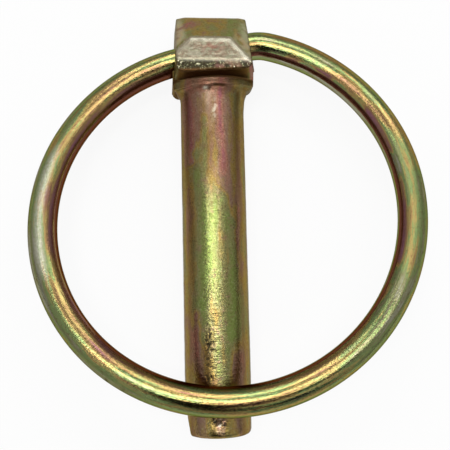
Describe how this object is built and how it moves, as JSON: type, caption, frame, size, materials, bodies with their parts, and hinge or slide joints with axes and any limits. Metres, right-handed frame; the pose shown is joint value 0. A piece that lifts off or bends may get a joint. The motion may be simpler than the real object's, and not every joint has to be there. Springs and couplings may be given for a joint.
{
  "type": "lynch pin",
  "caption": "Forged lynch pin of yellow passivated steel with a square nosed head and a sprung ring of round wire that snaps over the shank.",
  "frame": {"origin": "on the shank's axis, where the collar under the head ends and the free shank begins", "axes": "+Y along the shank from the tip to the head, +Z away from the head's flat back towards its nose, +X to the right with the nose towards the viewer and the head at the top"},
  "size_m": [0.048, 0.0521, 0.0118],
  "materials": {
    "forged_steel": "yellow zinc, satin",
    "spring_wire": "yellow zinc, glossy"
  },
  "bodies": {
    "pin": {"pin": "forged_steel"},
    "ring": {"ring": "spring_wire"}
  },
  "joints": [
    {"name": "ring_swing", "type": "hinge", "parent": "pin", "child": "ring", "pos_m": [0, 0.0058, 0], "axis": [-0.9816, -0.1908, 0], "range_deg": [0, 344]}
  ]
}
